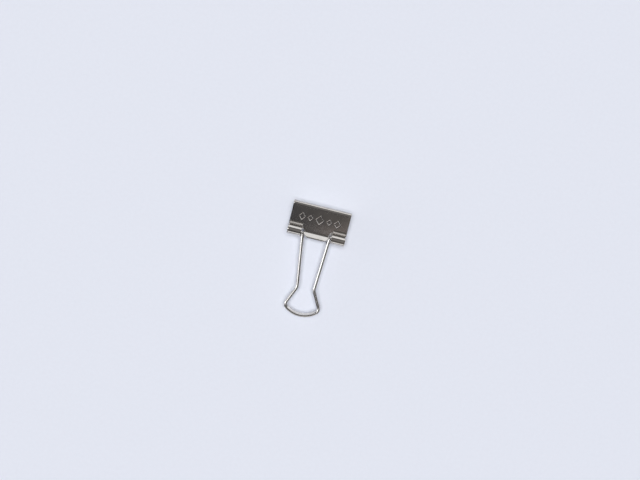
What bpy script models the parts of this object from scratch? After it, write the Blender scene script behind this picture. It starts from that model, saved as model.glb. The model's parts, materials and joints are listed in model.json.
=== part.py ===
"""A small steel binder clip, 19 mm wide, closed, with both wire handles folded forward.

Frame: X runs across the clip, along the rolls. +Y points from the mouth to the spine.
+Z is up. Z = 0 is the table that the clip lies on, and the origin is the centre of its footprint.
The real body is one bent strip of spring steel. It is cut here at its two bends, so that the jaws
can open: spine, front_jaw and rear_jaw. front_handle and rear_handle are bent from round wire.
Lengths are in metres and angles in radians.
"""

import math

import bmesh
import bpy
from mathutils import Matrix, Vector

# Sheet-steel body
BODY_WIDTH = 0.0190
SHEET = 0.00025
BODY_HEIGHT = 0.0086
BEND_RADIUS = 0.0010
BEND_CUT = 0.00006

# Rolls that hold the handles, and the mouth between them
ROLL_DIAMETER = 0.0034
ROLL_REACH = 0.00956
ROLL_INNER_END = 0.00505
ROLL_CURL = math.radians(318)
MOUTH_GAP = 0.00010

# Lip between the two rolls of a jaw, which flares outwards to lead the paper in
LIP_ROOT_HALF = 0.00430
LIP_TIP_HALF = 0.00275
LIP_REACH = 0.00150
LIP_BEND_RADIUS = 0.00050
LIP_FLARE = math.radians(27)
SLOT_DEPTH = 0.00030

# Wire handles, measured along the wire's centre line from the roll's axis
WIRE = 0.00115
FOOT_END = 0.00840
FOOT_BEND = 0.00090
LEG_TOP_HALF = 0.00450
NECK_HALF = 0.00276
NECK_REACH = 0.01770
LOOP_HALF = 0.00542
LOOP_REACH = 0.02650
NECK_BEND = 0.00260
LOOP_SIDE_BEND = 0.00165
LOOP_END_RADIUS = 0.00800
FRONT_LOOP_HEIGHT = 0.00065
# The rolls are wider than the wire, so the handles lie a little askew in them
HANDLE_SKEW = math.radians(2.6)

# Facets
BEND_STEPS = 8
CURL_STEP = math.radians(9)
WIRE_STEP = math.radians(7)
WIRE_SIDES_QUARTER = 3

# Worked out from the above
WIRE_RADIUS = WIRE / 2
MID_Z = BODY_HEIGHT / 2
BEND_MID_RADIUS = BEND_RADIUS - SHEET / 2
ROLL_MID_RADIUS = (ROLL_DIAMETER - SHEET) / 2
ROLL_RISE = (MOUTH_GAP + ROLL_DIAMETER) / 2
BEND_RISE = MID_Z - BEND_RADIUS
BEND_TO_ROLL = math.hypot(ROLL_REACH - BEND_RADIUS, BEND_RISE - ROLL_RISE)
JAW_SLOPE = math.atan2(BEND_RISE - ROLL_RISE, ROLL_REACH - BEND_RADIUS) + math.asin(
    (BEND_MID_RADIUS + ROLL_MID_RADIUS) / BEND_TO_ROLL
)
JAW_LENGTH = math.sqrt(BEND_TO_ROLL**2 - (BEND_MID_RADIUS + ROLL_MID_RADIUS) ** 2)
BEND_ANGLE = math.pi / 2 + JAW_SLOPE
LOOP_FAR = (LOOP_REACH - LOOP_END_RADIUS) * math.cos(HANDLE_SKEW) + LOOP_END_RADIUS
FRONT_DROP = math.asin((ROLL_RISE - FRONT_LOOP_HEIGHT) / LOOP_FAR)
REAR_DROP = math.asin((MID_Z - WIRE_RADIUS - ROLL_RISE) / LOOP_FAR)
LENGTH = ROLL_REACH + LOOP_FAR * math.cos(FRONT_DROP) + WIRE_RADIUS
SPINE_Y = LENGTH / 2
ROLL_Y = SPINE_Y - ROLL_REACH
PIVOT_Y = SPINE_Y - BEND_RADIUS + BEND_RADIUS * math.cos(BEND_ANGLE / 2)
PIVOT_RISE = BEND_RISE + BEND_RADIUS * math.sin(BEND_ANGLE / 2)

NICKEL = ((0.62, 0.60, 0.57, 1.0), 0.18)
NICKEL_WIRE = ((0.72, 0.71, 0.70, 1.0), 0.14)


def clear_scene():
    for obj in list(bpy.data.objects):
        bpy.data.objects.remove(obj, do_unlink=True)


def metal(name, look):
    colour, roughness = look
    material = bpy.data.materials.new(name)
    material.use_nodes = True
    shader = material.node_tree.nodes["Principled BSDF"]
    shader.inputs["Base Color"].default_value = colour
    shader.inputs["Metallic"].default_value = 1.0
    shader.inputs["Roughness"].default_value = roughness
    return material


def empty(name, place, parent=None):
    marker = bpy.data.objects.new(name, None)
    marker.empty_display_size = 0.002
    bpy.context.collection.objects.link(marker)
    marker.location = Vector(place)
    if parent:
        marker.parent = parent
        marker.matrix_parent_inverse = Matrix.Translation(-parent_place(parent))
    return marker


def parent_place(marker):
    """The world position of an empty that only stands at a place, unturned."""
    bpy.context.view_layer.update()
    return marker.matrix_world.translation.copy()


def attach(obj, marker):
    """Hangs an object modelled in world coordinates on an empty, without moving it."""
    obj.parent = marker
    obj.matrix_parent_inverse = Matrix.Translation(-parent_place(marker))


def mesh_object(name, mesh, material):
    obj = bpy.data.objects.new(name, mesh)
    bpy.context.collection.objects.link(obj)
    if not mesh.materials:
        mesh.materials.append(material)
    return obj


def arc(centre, radius, start, end, steps):
    """Stations (y, z, normal angle) round a centre, from one angle to another, both included."""
    stations = []
    for step in range(steps + 1):
        angle = start + (end - start) * step / steps
        stations.append((centre[0] + radius * math.cos(angle), centre[1] + radius * math.sin(angle), angle))
    return stations


def bend_centre():
    return SPINE_Y - BEND_RADIUS, MID_Z + BEND_RISE


def roll_centre():
    return ROLL_Y, MID_Z + ROLL_RISE


def spine_stations():
    """Middle of the sheet from the rear bend's cut, up the spine, to the front bend's cut."""
    cut = BEND_CUT / 2 / BEND_MID_RADIUS
    upper = arc(bend_centre(), BEND_MID_RADIUS, 0, BEND_ANGLE / 2 - cut, BEND_STEPS)
    lower = [(y, 2 * MID_Z - z, -angle) for y, z, angle in reversed(upper)]
    return lower + upper


def jaw_stations():
    """Middle of the front jaw's sheet from the bend's cut to the slots beside its lip."""
    cut = BEND_CUT / 2 / BEND_MID_RADIUS
    bend = arc(bend_centre(), BEND_MID_RADIUS, BEND_ANGLE / 2 + cut, BEND_ANGLE, BEND_STEPS)
    y, z, normal = bend[-1]
    run = JAW_LENGTH - SLOT_DEPTH
    return bend + [(y - run * math.cos(JAW_SLOPE), z - run * math.sin(JAW_SLOPE), normal)]


def curl_stations(centre, radius, turn):
    """Middle of the sheet as it curls up from the jaw. The jaw's outside is the inside of the curl."""
    start = BEND_ANGLE - math.pi
    steps = math.ceil(turn / CURL_STEP)
    found = arc(centre, radius, start, start - turn, steps)
    return [(y, z, angle + math.pi) for y, z, angle in found]


def lip_stations():
    """Middle of the lip: a tighter bend than the roll's, which comes down to the same level, and
    then a straight run. LIP_REACH is how far its edge is from the roll's axis, in Y."""
    tighter = ROLL_MID_RADIUS - LIP_BEND_RADIUS
    roll_y, roll_z = roll_centre()
    centre = roll_y + tighter * math.tan(JAW_SLOPE / 2), roll_z - tighter
    turned_up = curl_stations(centre, LIP_BEND_RADIUS, JAW_SLOPE + LIP_FLARE)
    y, z, normal = turned_up[-1]
    run = y - (ROLL_Y - LIP_REACH)
    return turned_up + [(y - run, z + run * math.tan(LIP_FLARE), normal)]


def sheet_mesh(name, columns, strips):
    """One closed sheet. columns are the X breaks of its main strip. Each strip is (first column,
    last column, stations, tip), where tip scales X at the strip's last station, and a strip
    after the first grows from the first one's end."""
    bm = bmesh.new()
    made = {}

    def corner(strip, column, row, side):
        _, _, stations, tip = strips[strip]
        if strip and row < 0:
            strip, stations = 0, strips[0][2]
            row = len(stations) - 1
        key = (strip, column, row, side)
        if key not in made:
            y, z, angle = stations[row]
            offset = side * SHEET / 2
            scale = tip if row == len(stations) - 1 else 1.0
            place = (columns[column] * scale, y + offset * math.cos(angle), z + offset * math.sin(angle))
            made[key] = bm.verts.new(place)
        return made[key]

    def quad(*corners):
        bm.faces.new(corners)

    root_spans = {(s[0], s[1]) for s in strips[1:]}
    for index, (first, last, stations, _) in enumerate(strips):
        rows = range(-1 if index else 0, len(stations) - 1)
        for row in rows:
            for column in range(first, last):
                for side in (-1, 1):
                    quad(
                        corner(index, column, row, side),
                        corner(index, column + 1, row, side),
                        corner(index, column + 1, row + 1, side),
                        corner(index, column, row + 1, side),
                    )
            for column in (first, last):
                quad(
                    corner(index, column, row, -1),
                    corner(index, column, row, 1),
                    corner(index, column, row + 1, 1),
                    corner(index, column, row + 1, -1),
                )
        ends = [len(stations) - 1] + ([] if index else [0])
        for row in ends:
            for column in range(first, last):
                grown = index == 0 and row and any(a <= column < b for a, b in root_spans)
                if not grown:
                    quad(
                        corner(index, column, row, -1),
                        corner(index, column + 1, row, -1),
                        corner(index, column + 1, row, 1),
                        corner(index, column, row, 1),
                    )
    bmesh.ops.recalc_face_normals(bm, faces=bm.faces)
    mesh = bpy.data.meshes.new(name)
    bm.to_mesh(mesh)
    bm.free()
    mesh.shade_smooth()
    mesh.set_sharp_from_angle(angle=math.radians(40))
    return mesh


def make_spine(material):
    half = BODY_WIDTH / 2
    mesh = sheet_mesh("spine", [-half, half], [(0, 1, spine_stations(), 1.0)])
    return mesh_object("spine", mesh, material)


def jaw_mesh():
    half = BODY_WIDTH / 2
    columns = [-half, -ROLL_INNER_END, -LIP_ROOT_HALF, LIP_ROOT_HALF, ROLL_INNER_END, half]
    roll = curl_stations(roll_centre(), ROLL_MID_RADIUS, ROLL_CURL)
    strips = [
        (0, 5, jaw_stations(), 1.0),
        (0, 1, roll, 1.0),
        (2, 3, lip_stations(), LIP_TIP_HALF / LIP_ROOT_HALF),
        (4, 5, roll, 1.0),
    ]
    return sheet_mesh("jaw", columns, strips)


def make_jaws(material):
    """The rear jaw is the front one turned half round about the clip's Y centre line."""
    mesh = jaw_mesh()
    front = mesh_object("front_jaw", mesh, material)
    rear = mesh_object("rear_jaw", mesh, material)
    rear.matrix_world = turned_over()
    return front, rear


def turned_over():
    middle = Matrix.Translation((0, 0, MID_Z))
    return middle @ Matrix.Rotation(math.pi, 4, "Y") @ middle.inverted()


def rounded(corners, radii):
    """A flat route through the corners, each rounded to its radius, as points along the wire."""
    route = [corners[0]]
    for before, at, after, radius in zip(corners, corners[1:], corners[2:], radii):
        back = (before - at).normalized()
        ahead = (after - at).normalized()
        half = back.angle(ahead) / 2
        centre = at + (back + ahead).normalized() * (radius / math.sin(half))
        start = at + back * (radius / math.tan(half)) - centre
        end = at + ahead * (radius / math.tan(half)) - centre
        route += turned(centre, start, start.angle_signed(end))
    return route + [corners[-1]]


def turned(centre, start, turn):
    """Points round a centre, from centre + start through a clockwise turn."""
    steps = max(2, math.ceil(abs(turn) / WIRE_STEP))
    return [centre + Matrix.Rotation(-turn * step / steps, 2) @ start for step in range(steps + 1)]


def handle_route():
    """Centre line of a handle in its own plane, as (across, reach) from one foot to the other.
    The loop's end is a shallow arc. A tighter arc on each side is tangent to it and to the
    shoulder, which runs straight back to the neck."""
    end_centre = Vector((0, LOOP_REACH - LOOP_END_RADIUS))
    side_across = LOOP_HALF - LOOP_SIDE_BEND
    side_beyond = math.sqrt((LOOP_END_RADIUS - LOOP_SIDE_BEND) ** 2 - side_across**2)
    side_centre = end_centre + Vector((side_across, side_beyond))
    neck = Vector((NECK_HALF, NECK_REACH))
    to_side = side_centre - neck
    lean = math.asin(LOOP_SIDE_BEND / to_side.length)
    shoulder = (Matrix.Rotation(-lean, 2) @ to_side).normalized()
    shoulder_end = neck + shoulder * (to_side.length * math.cos(lean))
    meeting = (side_centre - end_centre).normalized()
    side_start = shoulder_end - side_centre
    side = turned(side_centre, side_start, side_start.angle_signed(meeting))
    end = turned(end_centre, meeting * LOOP_END_RADIUS, meeting.angle_signed(Vector((0, 1))))
    legs = [Vector((FOOT_END, 0)), Vector((LEG_TOP_HALF, 0)), neck, shoulder_end]
    right = rounded(legs, [FOOT_BEND, NECK_BEND]) + side[1:] + end[1:]
    left = [Vector((-point.x, point.y)) for point in reversed(right[:-1])]
    return [Matrix.Rotation(-HANDLE_SKEW, 2) @ point for point in right + left]


def make_handle(name, sign, drop, material):
    """A bent wire with its feet on the roll's axis. sign is 1 for the front and -1 for the rear.
    drop is the angle at which it slopes down from its feet to its loop."""
    curve = bpy.data.curves.new(name, "CURVE")
    curve.dimensions = "3D"
    curve.bevel_depth = WIRE_RADIUS
    curve.bevel_resolution = WIRE_SIDES_QUARTER
    curve.use_fill_caps = True
    route = handle_route()
    spline = curve.splines.new("POLY")
    spline.points.add(len(route) - 1)
    for point, (across, reach) in zip(spline.points, route):
        y = ROLL_Y - reach * math.cos(drop)
        z = MID_Z + sign * ROLL_RISE - reach * math.sin(drop)
        point.co = (across, y, z, 1)
    handle = bpy.data.objects.new(name, curve)
    bpy.context.collection.objects.link(handle)
    curve.materials.append(material)
    return handle


def assemble():
    clear_scene()
    body_metal = metal("nickel_plated_sheet", NICKEL)
    wire_metal = metal("nickel_plated_wire", NICKEL_WIRE)
    make_spine(body_metal)
    front_jaw, rear_jaw = make_jaws(body_metal)
    front_handle = make_handle("front_handle", 1, FRONT_DROP, wire_metal)
    rear_handle = make_handle("rear_handle", -1, REAR_DROP, wire_metal)
    for side, jaw, handle, sign in (
        ("front", front_jaw, front_handle, 1),
        ("rear", rear_jaw, rear_handle, -1),
    ):
        bend = empty(f"{side}_bend_axis", (0, PIVOT_Y, MID_Z + sign * PIVOT_RISE))
        roll = empty(f"{side}_roll_axis", (0, ROLL_Y, MID_Z + sign * ROLL_RISE), bend)
        attach(jaw, bend)
        attach(handle, roll)


assemble()
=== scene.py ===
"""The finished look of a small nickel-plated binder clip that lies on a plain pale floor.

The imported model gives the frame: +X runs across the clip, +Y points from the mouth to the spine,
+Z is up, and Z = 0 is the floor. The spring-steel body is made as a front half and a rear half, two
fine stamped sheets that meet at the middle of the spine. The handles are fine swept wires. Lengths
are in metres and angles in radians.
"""

import json
import math

import bmesh
import bpy
import numpy as np
from mathutils import Matrix, Vector


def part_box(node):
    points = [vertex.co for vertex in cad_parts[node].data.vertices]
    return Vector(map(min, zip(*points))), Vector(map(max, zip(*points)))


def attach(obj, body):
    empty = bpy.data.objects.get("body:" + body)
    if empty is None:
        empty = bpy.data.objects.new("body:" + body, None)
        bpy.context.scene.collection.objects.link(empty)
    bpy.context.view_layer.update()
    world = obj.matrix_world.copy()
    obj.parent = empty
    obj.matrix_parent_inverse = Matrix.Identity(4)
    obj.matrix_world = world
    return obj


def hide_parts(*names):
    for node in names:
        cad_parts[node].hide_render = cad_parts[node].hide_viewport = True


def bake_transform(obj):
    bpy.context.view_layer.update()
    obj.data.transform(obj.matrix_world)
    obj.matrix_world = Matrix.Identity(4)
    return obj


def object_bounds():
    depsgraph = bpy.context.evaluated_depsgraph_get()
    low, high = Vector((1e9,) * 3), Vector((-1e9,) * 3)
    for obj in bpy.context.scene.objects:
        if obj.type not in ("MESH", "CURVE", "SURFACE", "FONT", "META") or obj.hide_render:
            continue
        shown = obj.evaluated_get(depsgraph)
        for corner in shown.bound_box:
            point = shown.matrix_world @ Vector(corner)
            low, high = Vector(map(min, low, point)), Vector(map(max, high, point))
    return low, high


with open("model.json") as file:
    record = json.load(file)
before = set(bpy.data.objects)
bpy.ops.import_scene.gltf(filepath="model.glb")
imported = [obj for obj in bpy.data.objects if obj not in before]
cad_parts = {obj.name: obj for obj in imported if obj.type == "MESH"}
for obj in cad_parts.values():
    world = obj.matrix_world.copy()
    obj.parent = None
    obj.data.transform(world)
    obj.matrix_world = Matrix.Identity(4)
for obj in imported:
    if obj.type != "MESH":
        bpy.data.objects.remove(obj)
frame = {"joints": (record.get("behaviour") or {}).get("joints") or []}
cad_low, cad_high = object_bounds()
joints = {joint["name"]: joint for joint in frame["joints"]}

# Places read from the frame
spine_low, spine_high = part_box("spine")
HALF_WIDTH = spine_high.x
SPINE_Y = spine_high.y
MID_Z = (cad_low.z + cad_high.z) / 2
ROLL_Y = joints["front_handle_swing"]["pos_m"][1]
ROLL_RISE = joints["front_handle_swing"]["pos_m"][2] - MID_Z
HALF_HEIGHT = cad_high.z - MID_Z

# Sheet-steel body
SHEET = 0.00025
BEND_RADIUS = 0.0010
ROLL_DIAMETER = 0.0034
ROLL_INNER_END = 0.00505
ROLL_CURL = math.radians(318)
LIP_ROOT_HALF = 0.00430
LIP_TIP_HALF = 0.00275
LIP_REACH = 0.00150
LIP_BEND_RADIUS = 0.00050
LIP_FLARE = math.radians(29)
LIP_TIP_FLARE = math.radians(17)
LIP_TAPER_POWER = 1.6
SLOT_DEPTH = 0.00030
JAW_CROWN = 0.00005
SHEET_EDGE_ROUND = 0.00004
EDGE_ANGLE = math.radians(50)  # an edge that turns by more is a real edge, not a step of a bend

# Lozenges pressed into the front jaw. STAMP_CENTRE is measured down the jaw from its bend, and each
# row of STAMP_ROW gives a lozenge's place to either side of the middle and its two half sizes.
STAMP_CENTRE = 0.0037
STAMP_HALF_LENGTH = 0.0082
STAMP_HALF_HEIGHT = 0.0022
STAMP_DEPTH = 0.000016
STAMP_ROW = ((0.0, 0.0013, 0.0016), (0.0031, 0.0008, 0.0010), (0.0058, 0.0010, 0.0013))
STROKE = 0.00013
STROKE_WALL = 0.6

# Wire handles, measured along the centre line from the roll's axis
WIRE_RADIUS = 0.000575
FOOT_END = 0.00840
FOOT_BEND = 0.00090
LEG_TOP_HALF = 0.00450
NECK_HALF = 0.00276
NECK_REACH = 0.01770
LOOP_HALF = 0.00542
LOOP_REACH = 0.02650
NECK_BEND = 0.00260
LOOP_SIDE_BEND = 0.00165
LOOP_END_RADIUS = 0.00800
FRONT_LOOP_HEIGHT = 0.00065
HANDLE_SKEW = math.radians(2.6)
WIRE_END_ROUND = 0.00012
WIRE_END_SHARE = 0.78

# Fineness of the meshes
STAMP_PITCH = 0.00008
COARSE_PITCH = 0.00040
BEND_STEP = math.radians(5)
WIRE_STEP = math.radians(4)
WIRE_SIDES = 40
LIP_ROWS = 8
CROWDED = 0.3  # columns that are nearer than this share of their pitch become one
SAME = 1e-9  # places that are nearer than this are the same place

# Studio. A softbox has a place, the way it faces, its size and its radiance. A glow has its middle,
# the angles from it at which it starts and is full, and its colour.
FLOOR_HALF = 1.5
SOFTBOXES = {
    "back_softbox": ((0, 1.2, 0.90), (0, -1, 0), (2.4, 1.28), 0.95),
    "front_softbox": ((0, -1.2, 0.52), (0, 1, 0), (2.4, 0.525), 0.95),
    "left_softbox": ((-0.94, -0.09, 1.0), (0, 0, -1), (1.59, 0.36), 2.1),
}
FILL_STRENGTH = 2.68
FILL_ANGLE = math.radians(25)
WORLD_LEFT = (0.055, 0.056, 0.064)
WORLD_MIDDLE = (0.125, 0.115, 0.108)
WORLD_CHANGE = (-0.12, 0.06)
WORLD_GLOWS = (
    ((0.0, 0.0, 1.0), math.radians(28), math.radians(8), (0.215, 0.205, 0.20)),
    ((0.085, -0.837, 0.545), math.radians(6.5), math.radians(0.5), (0.31, 0.262, 0.248)),
    ((-0.085, -0.837, 0.545), math.radians(5.5), math.radians(1), (0.036, 0.037, 0.046)),
    ((-1.0, 0.0, 0.22), math.radians(38), math.radians(14), (0.55, 0.55, 0.56)),
)
CAMERA_DISTANCE = 0.30
CAMERA_ROLL = math.radians(14.0)
CAMERA_ASIDE = 0.00334
CAMERA_ABOVE = 0.00692
VIEW_WIDTH = 0.2081

# Worked out from the above
BEND_MID_RADIUS = BEND_RADIUS - SHEET / 2
ROLL_MID_RADIUS = (ROLL_DIAMETER - SHEET) / 2
BEND_RISE = HALF_HEIGHT - BEND_RADIUS
BEND_BACK = SPINE_Y - BEND_RADIUS - ROLL_Y
BEND_TO_ROLL = math.hypot(BEND_BACK, BEND_RISE - ROLL_RISE)
JAW_SLOPE = math.atan2(BEND_RISE - ROLL_RISE, BEND_BACK) + math.asin(
    (BEND_MID_RADIUS + ROLL_MID_RADIUS) / BEND_TO_ROLL
)
JAW_LENGTH = math.sqrt(BEND_TO_ROLL**2 - (BEND_MID_RADIUS + ROLL_MID_RADIUS) ** 2)
BEND_ANGLE = math.pi / 2 + JAW_SLOPE
LOOP_FAR = (LOOP_REACH - LOOP_END_RADIUS) * math.cos(HANDLE_SKEW) + LOOP_END_RADIUS
FRONT_DROP = math.asin((ROLL_RISE - FRONT_LOOP_HEIGHT) / LOOP_FAR)
REAR_DROP = math.asin((MID_Z - WIRE_RADIUS - ROLL_RISE) / LOOP_FAR)


def new_object(name, data):
    obj = bpy.data.objects.new(name, data)
    bpy.context.scene.collection.objects.link(obj)
    return obj


# ---------------------------------------------------------------- materials


def add_node(material, kind, **settings):
    node = material.node_tree.nodes.new(kind)
    for name, value in settings.items():
        setattr(node, name, value)
    return node


def noise(material, vector, stretch, detail=3.0, roughness=0.55):
    """A noise whose cells are 1 / stretch metres along each axis of the given vector."""
    mapping = add_node(material, "ShaderNodeMapping")
    mapping.inputs["Scale"].default_value = stretch
    material.node_tree.links.new(vector, mapping.inputs["Vector"])
    texture = add_node(material, "ShaderNodeTexNoise")
    texture.inputs["Scale"].default_value = 1.0
    texture.inputs["Detail"].default_value = detail
    texture.inputs["Roughness"].default_value = roughness
    material.node_tree.links.new(mapping.outputs["Vector"], texture.inputs["Vector"])
    return texture.outputs["Fac"]


def ranged(material, value, low, high, from_low=0.3, from_high=0.7):
    node = add_node(material, "ShaderNodeMapRange")
    node.inputs["From Min"].default_value = from_low
    node.inputs["From Max"].default_value = from_high
    node.inputs["To Min"].default_value = low
    node.inputs["To Max"].default_value = high
    material.node_tree.links.new(value, node.inputs["Value"])
    return node.outputs["Result"]


def added(material, first, second):
    node = add_node(material, "ShaderNodeMath", operation="ADD")
    material.node_tree.links.new(first, node.inputs[0])
    material.node_tree.links.new(second, node.inputs[1])
    return node.outputs["Value"]


def mixed(material, factor, first, second):
    node = add_node(material, "ShaderNodeMix", data_type="RGBA")
    material.node_tree.links.new(factor, node.inputs["Factor"])
    node.inputs["A"].default_value = (*first, 1)
    node.inputs["B"].default_value = (*second, 1)
    return node.outputs["Result"]


def bumped(material, height, depth, under=None):
    """Turns a 0 to 1 height into a normal. depth is the real relief in metres."""
    node = add_node(material, "ShaderNodeBump")
    node.inputs["Strength"].default_value = 1.0
    node.inputs["Distance"].default_value = depth
    material.node_tree.links.new(height, node.inputs["Height"])
    if under:
        material.node_tree.links.new(under, node.inputs["Normal"])
    return node.outputs["Normal"]


def new_material(name):
    """A material and its shader."""
    material = bpy.data.materials.new(name)
    material.use_nodes = True
    return material, material.node_tree.nodes["Principled BSDF"]


def plated(name, bright, dull, smooth, rough, grain, waviness):
    """Bright nickel plating over drawn or rolled steel. The grain runs along the second axis of the
    piece's own developed coordinates, so it follows every bend."""
    material, shader = new_material(name)
    shader.inputs["Metallic"].default_value = 1.0
    developed = add_node(material, "ShaderNodeAttribute", attribute_name="developed")
    along = developed.outputs["Vector"]
    cloud = noise(material, along, (260, 260, 260), detail=4.0)
    streak = noise(material, along, (9000, 180, 9000), detail=2.0)
    scuff = noise(material, along, (2600, 900, 2600), detail=5.0, roughness=0.7)
    wave = noise(material, along, (150, 150, 150), detail=1.0)
    colour = mixed(material, ranged(material, cloud, 0, 1), bright, dull)
    material.node_tree.links.new(colour, shader.inputs["Base Color"])
    hazy = ranged(material, scuff, smooth, rough, 0.35, 0.75)
    lined = ranged(material, streak, -0.02, 0.05)
    material.node_tree.links.new(added(material, hazy, lined), shader.inputs["Roughness"])
    normal = bumped(material, wave, waviness)
    normal = bumped(material, streak, grain, normal)
    normal = bumped(material, scuff, grain * 0.6, normal)
    material.node_tree.links.new(normal, shader.inputs["Normal"])
    return material


def sheared(name):
    """The cut edge of the sheet: plated too, but rougher, with fine lines across its thickness."""
    material, shader = new_material(name)
    shader.inputs["Metallic"].default_value = 1.0
    place = add_node(material, "ShaderNodeTexCoord").outputs["Object"]
    tear = noise(material, place, (5200, 5200, 5200), detail=4.0)
    patches = ranged(material, tear, 0, 1)
    colour = mixed(material, patches, (0.66, 0.64, 0.61), (0.45, 0.43, 0.41))
    material.node_tree.links.new(colour, shader.inputs["Base Color"])
    material.node_tree.links.new(ranged(material, tear, 0.24, 0.42), shader.inputs["Roughness"])
    material.node_tree.links.new(bumped(material, tear, 0.000006), shader.inputs["Normal"])
    return material


def floor_material():
    material, shader = new_material("pale_floor")
    shader.inputs["Roughness"].default_value = 0.75
    place = add_node(material, "ShaderNodeTexCoord").outputs["Object"]
    fibre = noise(material, place, (900, 900, 900), detail=3.0)
    patches = ranged(material, fibre, 0, 1)
    colour = mixed(material, patches, (0.790, 0.822, 0.915), (0.775, 0.807, 0.900))
    material.node_tree.links.new(colour, shader.inputs["Base Color"])
    return material


# ---------------------------------------------------------------- stamped sheet


def arc(centre, radius, start, end):
    """Stations (y, z, normal angle) round a centre, from one angle to another, both included."""
    steps = max(1, math.ceil(abs(end - start) / BEND_STEP))
    angles = np.linspace(start, end, steps + 1)
    return [(centre[0] + radius * math.cos(a), centre[1] + radius * math.sin(a), a) for a in angles]


def bend_centre():
    return SPINE_Y - BEND_RADIUS, MID_Z + BEND_RISE


def roll_centre():
    return ROLL_Y, MID_Z + ROLL_RISE


def curl_stations(centre, radius, turn):
    """Middle of the sheet as it curls up from the jaw, whose outside is the inside of the curl."""
    start = BEND_ANGLE - math.pi
    return [(y, z, a + math.pi) for y, z, a in arc(centre, radius, start, start - turn)]


def lip_stations():
    """Middle of the lip: a tighter bend than the roll's, down to the same level, then a run that
    flattens a little towards its edge."""
    tighter = ROLL_MID_RADIUS - LIP_BEND_RADIUS
    roll_y, roll_z = roll_centre()
    centre = roll_y + tighter * math.tan(JAW_SLOPE / 2), roll_z - tighter
    found = curl_stations(centre, LIP_BEND_RADIUS, JAW_SLOPE + LIP_FLARE)
    y, z, normal = found[-1]
    step = (y - (ROLL_Y - LIP_REACH)) / LIP_ROWS
    for slope in np.linspace(LIP_FLARE, LIP_TIP_FLARE, LIP_ROWS):
        y, z = y - step, z + step * math.tan(slope)
        found.append((y, z, normal + LIP_FLARE - slope))
    return found


def spaced(low, high, pitch):
    return list(np.linspace(low, high, max(2, round((high - low) / pitch) + 1)))


def body_stations(jaw_rows):
    """Middle of the half body's sheet: up the spine, round the bend and down the jaw to its slots.
    Returns the stations and each one's distance down the jaw, which is negative before the jaw."""
    rise = [(SPINE_Y - SHEET / 2, MID_Z + z, 0.0) for z in spaced(0, BEND_RISE, COARSE_PITCH)]
    bend = arc(bend_centre(), BEND_MID_RADIUS, 0, BEND_ANGLE)
    y, z, normal = bend[-1]
    jaw = [(y - s * math.cos(JAW_SLOPE), z - s * math.sin(JAW_SLOPE), normal) for s in jaw_rows]
    before = [-1.0] * (len(rise) - 1 + len(bend))
    return rise[:-1] + bend + jaw, before + list(jaw_rows)


def stroke_mask(distance, width):
    """1 on the stroke's bed, 0 off it, with rounded walls between."""
    share = np.clip((width - distance) / (STROKE_WALL * width), 0, 1)
    return share * share * (3 - 2 * share)


def lozenge(x, s, centre, half_width, half_height, width):
    """The outline of a lozenge, as a mask."""
    slope = half_width * half_height / math.hypot(half_width, half_height)
    distance = (abs(x - centre) / half_width + abs(s) / half_height - 1) * slope
    return stroke_mask(abs(distance), width)


def stamp(x, s):
    """Depth of the plain row of lozenges pressed into the front jaw, which spells nothing."""
    s = s - STAMP_CENTRE
    mask = np.zeros_like(x)
    for place, half_width, half_height in STAMP_ROW:
        for side in (-1, 1):
            mask = np.maximum(mask, lozenge(x, s, side * place, half_width, half_height, STROKE))
    return STAMP_DEPTH * mask


def crown(x, s):
    """The slight outward swell of a jaw, which its bend and its rolls hold flat at its ends."""
    share = np.clip(s / (JAW_LENGTH - SLOT_DEPTH), 0, 1)
    return JAW_CROWN * np.sin(math.pi * share) * (1 - (x / HALF_WIDTH) ** 2)


def mesh_object(name, places, faces, developed, materials):
    """An object from points and faces. Its materials read the developed coordinates."""
    mesh = bpy.data.meshes.new(name)
    mesh.from_pydata(places, [], faces)
    attribute = mesh.attributes.new("developed", "FLOAT_VECTOR", "POINT")
    attribute.data.foreach_set("vector", np.array(developed, np.float32).ravel())
    for material in materials:
        mesh.materials.append(material)
    return new_object(name, mesh)


class Sheet:
    """A closed bent sheet built from strips of quads, with its developed coordinates."""

    def __init__(self):
        self.places = []
        self.developed = []
        self.faces = []
        self.edge_faces = []

    def add_rows(self, columns, stations, lengths, scales, lift):
        """One vertex on each side of the sheet for each column and station."""
        first = len(self.places)
        for (y, z, angle), length, scale in zip(stations, lengths, scales):
            across = columns * scale
            rise = lift(across, np.full_like(columns, length))
            for side in (-1, 1):
                offset = side * SHEET / 2 + rise
                row_y = y + offset * math.cos(angle)
                row_z = z + offset * math.sin(angle)
                self.places += list(zip(across, row_y, row_z))
                self.developed += [(x, length, side * SHEET) for x in across]
        count = len(columns)
        ids = np.arange(first, len(self.places)).reshape(len(stations), 2, count)
        return ids.transpose(0, 2, 1)

    def skin(self, ids):
        """Both faces of the sheet between rows of vertex pairs."""
        for side in (0, 1):
            for row in range(ids.shape[0] - 1):
                a, b = ids[row, :, side], ids[row + 1, :, side]
                self.faces += [(a[i], a[i + 1], b[i + 1], b[i]) for i in range(len(a) - 1)]

    def wall(self, line):
        """Closes the sheet along a line of vertex pairs."""
        for near, far in zip(line, line[1:]):
            self.edge_faces.append((near[0], near[1], far[1], far[0]))

    def to_object(self, name, materials):
        faces = [[int(vert) for vert in face] for face in self.faces + self.edge_faces]
        obj = mesh_object(name, self.places, faces, self.developed, materials)
        slots = [0] * len(self.faces) + [1] * len(self.edge_faces)
        obj.data.polygons.foreach_set("material_index", slots)
        obj.data.validate()
        return obj


def span(columns, low, high):
    """The first and last column from low to high."""
    inside = np.flatnonzero((columns > low - SAME) & (columns < high + SAME))
    return inside[0], inside[-1]


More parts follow.
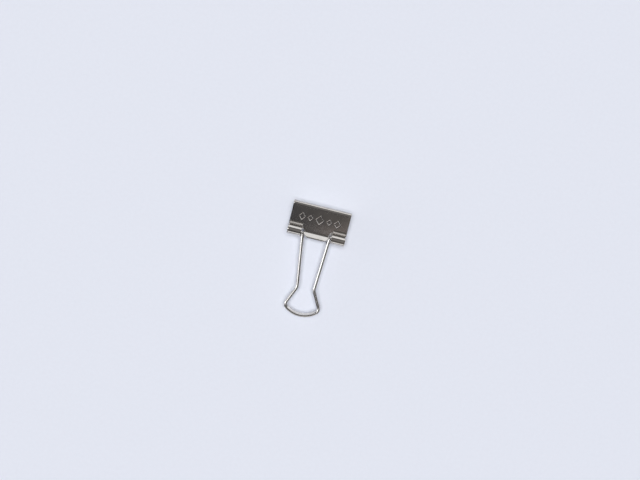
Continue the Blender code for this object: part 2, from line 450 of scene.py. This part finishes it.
def body_columns(fine):
    """Places across the sheet: fine ones where the stamp is, and the exact ends of the rolls and lip."""
    breaks = {side * x for side in (-1, 1) for x in (HALF_WIDTH, ROLL_INNER_END, LIP_ROOT_HALF)}
    columns = breaks | set(spaced(-STAMP_HALF_LENGTH, STAMP_HALF_LENGTH, fine))
    outer = spaced(STAMP_HALF_LENGTH, HALF_WIDTH, COARSE_PITCH)
    columns |= {side * x for side in (-1, 1) for x in outer}
    columns = np.array(sorted(columns))
    crowded = np.diff(columns, prepend=-1) < CROWDED * fine
    exact = [any(abs(x - b) < SAME for b in breaks) for x in columns]
    return columns[~crowded | np.array(exact)]


def half_body(name, stamped, materials):
    """The upper half of the body, from the middle of the spine to the rolls and the lip."""
    fine = STAMP_PITCH if stamped else COARSE_PITCH
    columns = body_columns(fine)
    jaw_end = JAW_LENGTH - SLOT_DEPTH
    stamp_start, stamp_end = STAMP_CENTRE - STAMP_HALF_HEIGHT, STAMP_CENTRE + STAMP_HALF_HEIGHT
    jaw_rows = spaced(0, stamp_start, COARSE_PITCH)[1:]
    jaw_rows += spaced(stamp_start, stamp_end, fine)[1:]
    jaw_rows += spaced(stamp_end, jaw_end, COARSE_PITCH)[1:]
    stations, down = body_stations(jaw_rows)

    def lift(x, s):
        swell = crown(x, s) - (stamp(x, s) if stamped else 0)
        return np.where(s > 0, swell, 0.0)

    def flat(x, s):
        return np.zeros_like(x)

    sheet = Sheet()
    body = sheet.add_rows(columns, stations, down, [1.0] * len(stations), lift)
    sheet.skin(body)
    sheet.wall(body[:, 0])
    sheet.wall(body[:, -1])
    sheet.wall(body[0])
    grown = []
    ear = curl_stations(roll_centre(), ROLL_MID_RADIUS, ROLL_CURL)
    lip = lip_stations()
    along = np.linspace(0, 1, LIP_ROWS + 1)
    taper = 1 - (1 - LIP_TIP_HALF / LIP_ROOT_HALF) * along**LIP_TAPER_POWER
    lip_scales = [1.0] * (len(lip) - LIP_ROWS - 1) + list(taper)
    for low, high, line, scales in (
        (-HALF_WIDTH, -ROLL_INNER_END, ear, [1.0] * len(ear)),
        (-LIP_ROOT_HALF, LIP_ROOT_HALF, lip, lip_scales),
        (ROLL_INNER_END, HALF_WIDTH, ear, [1.0] * len(ear)),
    ):
        first, last = span(columns, low, high)
        lengths = jaw_end + SLOT_DEPTH + np.arange(len(line)) * BEND_STEP * ROLL_MID_RADIUS
        rows = sheet.add_rows(columns[first : last + 1], line, lengths, scales, flat)
        strip = np.concatenate([body[-1:, first : last + 1], rows])
        sheet.skin(strip)
        sheet.wall(strip[:, 0])
        sheet.wall(strip[:, -1])
        sheet.wall(strip[-1])
        grown.append((first, last))
    for (_, first), (last, _) in zip(grown, grown[1:]):
        sheet.wall(body[-1, first : last + 1])
    return sheet.to_object(name, materials)


def finish_sheet(obj):
    """Faces outwards, smooth shading, and the small round of a tumbled edge. The two halves meet
    at the middle of the spine, so the edges there stay sharp and leave no groove."""
    obj.data.shade_smooth()
    bm = bmesh.new()
    bm.from_mesh(obj.data)
    bmesh.ops.recalc_face_normals(bm, faces=bm.faces)
    weight = bm.edges.layers.float.new("bevel_weight_edge")
    for edge in bm.edges:
        if edge.calc_face_angle(0) > EDGE_ANGLE:
            joins = all(abs(v.co.z - MID_Z) < SHEET / 10 and v.co.y > 0 for v in edge.verts)
            edge.smooth = not joins
            edge[weight] = 0.0 if joins else 1.0
    bm.to_mesh(obj.data)
    bm.free()
    bevel = obj.modifiers.new("edge_round", "BEVEL")
    bevel.width = SHEET_EDGE_ROUND
    bevel.segments = 2
    bevel.limit_method = "WEIGHT"
    bevel.miter_outer = "MITER_ARC"
    weighted = obj.modifiers.new("flat_faces_stay_flat", "WEIGHTED_NORMAL")
    weighted.keep_sharp = True


def turn_over(obj):
    """Turns a piece half round about the clip's Y centre line, so a front piece becomes a rear one."""
    middle = Matrix.Translation((0, 0, MID_Z))
    obj.data.transform(middle @ Matrix.Rotation(math.pi, 4, "Y") @ middle.inverted())


# ---------------------------------------------------------------- wire


def turned(centre, start, turn):
    """Points round a centre, from centre + start through a clockwise turn."""
    steps = max(2, math.ceil(abs(turn) / WIRE_STEP))
    return [centre + Matrix.Rotation(-turn * step / steps, 2) @ start for step in range(steps + 1)]


def rounded(corners, radii):
    """A flat route through the corners, each rounded to its radius, as points along the wire."""
    route = [corners[0]]
    for before, at, after, radius in zip(corners, corners[1:], corners[2:], radii):
        back = (before - at).normalized()
        ahead = (after - at).normalized()
        half = back.angle(ahead) / 2
        centre = at + (back + ahead).normalized() * (radius / math.sin(half))
        start = at + back * (radius / math.tan(half)) - centre
        end = at + ahead * (radius / math.tan(half)) - centre
        route += turned(centre, start, start.angle_signed(end))
    return route + [corners[-1]]


def handle_route():
    """Centre line of a handle in its own plane, as (across, reach) from one foot to the other.
    The loop's end is a shallow arc. A tighter arc on each side is tangent to it and to the
    shoulder, which runs straight back to the neck."""
    end_centre = Vector((0, LOOP_REACH - LOOP_END_RADIUS))
    side_across = LOOP_HALF - LOOP_SIDE_BEND
    side_beyond = math.sqrt((LOOP_END_RADIUS - LOOP_SIDE_BEND) ** 2 - side_across**2)
    side_centre = end_centre + Vector((side_across, side_beyond))
    neck = Vector((NECK_HALF, NECK_REACH))
    to_side = side_centre - neck
    lean = math.asin(LOOP_SIDE_BEND / to_side.length)
    shoulder = (Matrix.Rotation(-lean, 2) @ to_side).normalized()
    shoulder_end = neck + shoulder * (to_side.length * math.cos(lean))
    meeting = (side_centre - end_centre).normalized()
    side_start = shoulder_end - side_centre
    side = turned(side_centre, side_start, side_start.angle_signed(meeting))
    end = turned(end_centre, meeting * LOOP_END_RADIUS, meeting.angle_signed(Vector((0, 1))))
    legs = [Vector((FOOT_END, 0)), Vector((LEG_TOP_HALF, 0)), neck, shoulder_end]
    right = rounded(legs, [FOOT_BEND, NECK_BEND]) + side[1:] + end[1:]
    left = [Vector((-point.x, point.y)) for point in reversed(right[:-1])]
    return [Matrix.Rotation(-HANDLE_SKEW, 2) @ point for point in right + left]


def make_handle(name, sign, drop, material):
    """A swept wire with cropped, slightly rounded ends, its feet on the roll's axis."""
    route = handle_route()
    behind, ahead = [route[0]] + route[:-1], route[1:] + [route[-1]]
    tangents = [(b - a).normalized() for a, b in zip(behind, ahead)]
    start, end = tangents[0], tangents[-1]
    rings = [(route[0], start, WIRE_END_SHARE), (route[0] + start * WIRE_END_ROUND, start, 1.0)]
    rings += [(point, tangent, 1.0) for point, tangent in zip(route[1:-1], tangents[1:-1])]
    rings += [(route[-1] - end * WIRE_END_ROUND, end, 1.0), (route[-1], end, WIRE_END_SHARE)]
    down = Vector((0, -math.cos(drop), -math.sin(drop)))
    normal = Vector((0, -math.sin(drop), math.cos(drop)))
    axis = Vector((0, ROLL_Y, MID_Z + sign * ROLL_RISE))
    places, developed, length, last = [], [], 0.0, rings[0][0]
    for point, tangent, share in rings:
        length += (point - last).length
        last = point
        side = Vector((tangent.y, -tangent.x))
        centre = axis + Vector((point.x, 0, 0)) + down * point.y
        outward = Vector((side.x, 0, 0)) + down * side.y
        for step in range(WIRE_SIDES):
            angle = math.tau * step / WIRE_SIDES
            across, up = WIRE_RADIUS * math.cos(angle), WIRE_RADIUS * math.sin(angle)
            places.append(centre + outward * (share * across) + normal * (share * up))
            developed.append((across, length, up))
    faces = []
    for ring in range(len(rings) - 1):
        for step in range(WIRE_SIDES):
            after = (step + 1) % WIRE_SIDES
            low, high = ring * WIRE_SIDES, (ring + 1) * WIRE_SIDES
            faces.append((low + step, low + after, high + after, high + step))
    faces.append(tuple(range(WIRE_SIDES)))
    faces.append(tuple(reversed(range(len(places) - WIRE_SIDES, len(places)))))
    obj = mesh_object(name, places, faces, developed, [material])
    bm = bmesh.new()
    bm.from_mesh(obj.data)
    bmesh.ops.recalc_face_normals(bm, faces=bm.faces)
    bm.to_mesh(obj.data)
    bm.free()
    obj.data.shade_smooth()
    obj.data.set_sharp_from_angle(angle=EDGE_ANGLE)
    return obj


# ---------------------------------------------------------------- stage


def keep_below(floor, pieces):
    """Lowers the floor to the lowest point of the pieces when that is below Z = 0, so that the clip
    always lies on it: the rear jaw and its handle go lower than at rest as the jaws open."""
    tree = bpy.data.node_groups.new("floor_under_clip", "GeometryNodeTree")
    tree.interface.new_socket("Geometry", in_out="INPUT", socket_type="NodeSocketGeometry")
    tree.interface.new_socket("Geometry", in_out="OUTPUT", socket_type="NodeSocketGeometry")
    joined = tree.nodes.new("GeometryNodeJoinGeometry")
    for piece in pieces:
        info = tree.nodes.new("GeometryNodeObjectInfo")
        info.transform_space = "RELATIVE"
        info.inputs["Object"].default_value = piece
        tree.links.new(info.outputs["Geometry"], joined.inputs["Geometry"])
    box = tree.nodes.new("GeometryNodeBoundBox")
    tree.links.new(joined.outputs["Geometry"], box.inputs["Geometry"])
    lowest = tree.nodes.new("ShaderNodeSeparateXYZ")
    tree.links.new(box.outputs["Min"], lowest.inputs["Vector"])
    drop = tree.nodes.new("ShaderNodeMath")
    drop.operation = "MINIMUM"
    tree.links.new(lowest.outputs["Z"], drop.inputs[0])
    drop.inputs[1].default_value = 0.0
    offset = tree.nodes.new("ShaderNodeCombineXYZ")
    tree.links.new(drop.outputs["Value"], offset.inputs["Z"])
    moved = tree.nodes.new("GeometryNodeSetPosition")
    tree.links.new(tree.nodes.new("NodeGroupInput").outputs["Geometry"], moved.inputs["Geometry"])
    tree.links.new(offset.outputs["Vector"], moved.inputs["Offset"])
    tree.links.new(moved.outputs["Geometry"], tree.nodes.new("NodeGroupOutput").inputs["Geometry"])
    floor.modifiers.new("floor_under_clip", "NODES").node_group = tree


def make_floor(pieces):
    mesh = bpy.data.meshes.new("floor")
    corners = [(x * FLOOR_HALF, y * FLOOR_HALF, 0) for x, y in ((-1, -1), (1, -1), (1, 1), (-1, 1))]
    mesh.from_pydata(corners, [], [(0, 1, 2, 3)])
    mesh.materials.append(floor_material())
    floor = new_object("floor", mesh)
    keep_below(floor, pieces)


def softbox(name, place, facing, size, radiance):
    """A rectangular light that shows only in reflections, so that it casts no shadow."""
    light = bpy.data.lights.new(name, "AREA")
    light.shape = "RECTANGLE"
    light.size, light.size_y = size
    light.energy = radiance * math.pi * size[0] * size[1]
    obj = new_object(name, light)
    obj.location = place
    obj.rotation_euler = Vector(facing).to_track_quat("-Z", "Y").to_euler()
    obj.visible_diffuse = False


def world_ramp(tree, value, low, high, first, second):
    """A colour that goes smoothly from first, where value is low or less, to second."""
    share = tree.nodes.new("ShaderNodeMapRange")
    share.interpolation_type = "SMOOTHSTEP"
    share.inputs["From Min"].default_value = low
    share.inputs["From Max"].default_value = high
    tree.links.new(value, share.inputs["Value"])
    mix = tree.nodes.new("ShaderNodeMix")
    mix.data_type = "RGBA"
    tree.links.new(share.outputs["Result"], mix.inputs["Factor"])
    for side, colour in (("A", first), ("B", second)):
        if isinstance(colour, tuple):
            mix.inputs[side].default_value = (*colour, 1)
        else:
            tree.links.new(colour, mix.inputs[side])
    return mix.outputs["Result"]


def toward(tree, direction, axis):
    """The cosine of the angle between the view direction and an axis."""
    node = tree.nodes.new("ShaderNodeVectorMath")
    node.operation = "DOT_PRODUCT"
    tree.links.new(direction, node.inputs[0])
    node.inputs[1].default_value = Vector(axis).normalized()
    return node.outputs["Value"]


def make_world():
    """A dim grey studio, darker on the left, with a soft glow overhead, a brighter and a darker patch
    in front that the jaw mirrors, and a pale wall on the left."""
    world = bpy.data.worlds.new("studio")
    bpy.context.scene.world = world
    world.use_nodes = True
    tree = world.node_tree
    direction = tree.nodes.new("ShaderNodeTexCoord").outputs["Generated"]
    left_to_right = toward(tree, direction, (1, 0, 0))
    colour = world_ramp(tree, left_to_right, *WORLD_CHANGE, WORLD_LEFT, WORLD_MIDDLE)
    for axis, reach, full, tone in WORLD_GLOWS:
        closeness = toward(tree, direction, axis)
        colour = world_ramp(tree, closeness, math.cos(reach), math.cos(full), colour, tone)
    tree.links.new(colour, tree.nodes["Background"].inputs["Color"])


def make_lights():
    """Softboxes that the metal mirrors, with a dark gap between them overhead, and a fill from
    straight above that lights only the floor, so that hardly a shadow shows beside the clip."""
    for name, settings in SOFTBOXES.items():
        softbox(name, *settings)
    fill = new_object("fill", bpy.data.lights.new("fill", "SUN"))
    fill.data.energy = FILL_STRENGTH
    fill.data.angle = FILL_ANGLE
    fill.visible_glossy = False


def make_camera():
    """It looks straight down from off the clip's middle, turned so that the spine runs downhill."""
    camera = bpy.data.cameras.new("camera")
    obj = new_object("camera", camera)
    bpy.context.scene.camera = obj
    camera.sensor_width = 36.0
    camera.lens = camera.sensor_width * CAMERA_DISTANCE / VIEW_WIDTH
    turn = Matrix.Rotation(CAMERA_ROLL, 4, "Z")
    place = turn @ Vector((CAMERA_ASIDE, CAMERA_ABOVE, MID_Z + CAMERA_DISTANCE))
    obj.matrix_world = Matrix.Translation(place) @ turn


# ---------------------------------------------------------------- the clip


def make_body(materials):
    """Two half bodies that meet at the middle of the spine, each bent round its own bend."""
    halves = []
    for name, stamped, jaw, nodes, up in (
        ("front_half_body", True, "front_jaw", ("spine", "front_jaw"), 1),
        ("rear_half_body", False, "rear_jaw", ("spine", "rear_jaw"), -1),
    ):
        half = half_body(name, stamped, materials)
        if up == -1:
            turn_over(half)
        finish_sheet(half)
        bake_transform(half)
        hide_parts(*nodes)
        halves.append(half)
    return halves


def make_handles(material):
    handles = []
    for side, sign, drop in (("front", 1, FRONT_DROP), ("rear", -1, REAR_DROP)):
        handle = make_handle(f"{side}_wire_handle", sign, drop, material)
        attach(handle, f"{side}_handle")
        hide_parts(f"{side}_handle")
        handles.append(handle)
    return handles


sheet_nickel = plated(
    "nickel_sheet",
    bright=(0.69, 0.675, 0.66),
    dull=(0.61, 0.595, 0.58),
    smooth=0.05,
    rough=0.11,
    grain=0.0000001,
    waviness=0.00001,
)
wire_nickel = plated(
    "nickel_wire",
    bright=(0.80, 0.79, 0.785),
    dull=(0.72, 0.71, 0.705),
    smooth=0.04,
    rough=0.10,
    grain=0.0000001,
    waviness=0.000004,
)
halves = make_body([sheet_nickel, sheared("sheared_edge")])
handles = make_handles(wire_nickel)
make_floor(halves + handles)
make_world()
make_lights()
make_camera()
bpy.context.scene.view_settings.view_transform = "Standard"
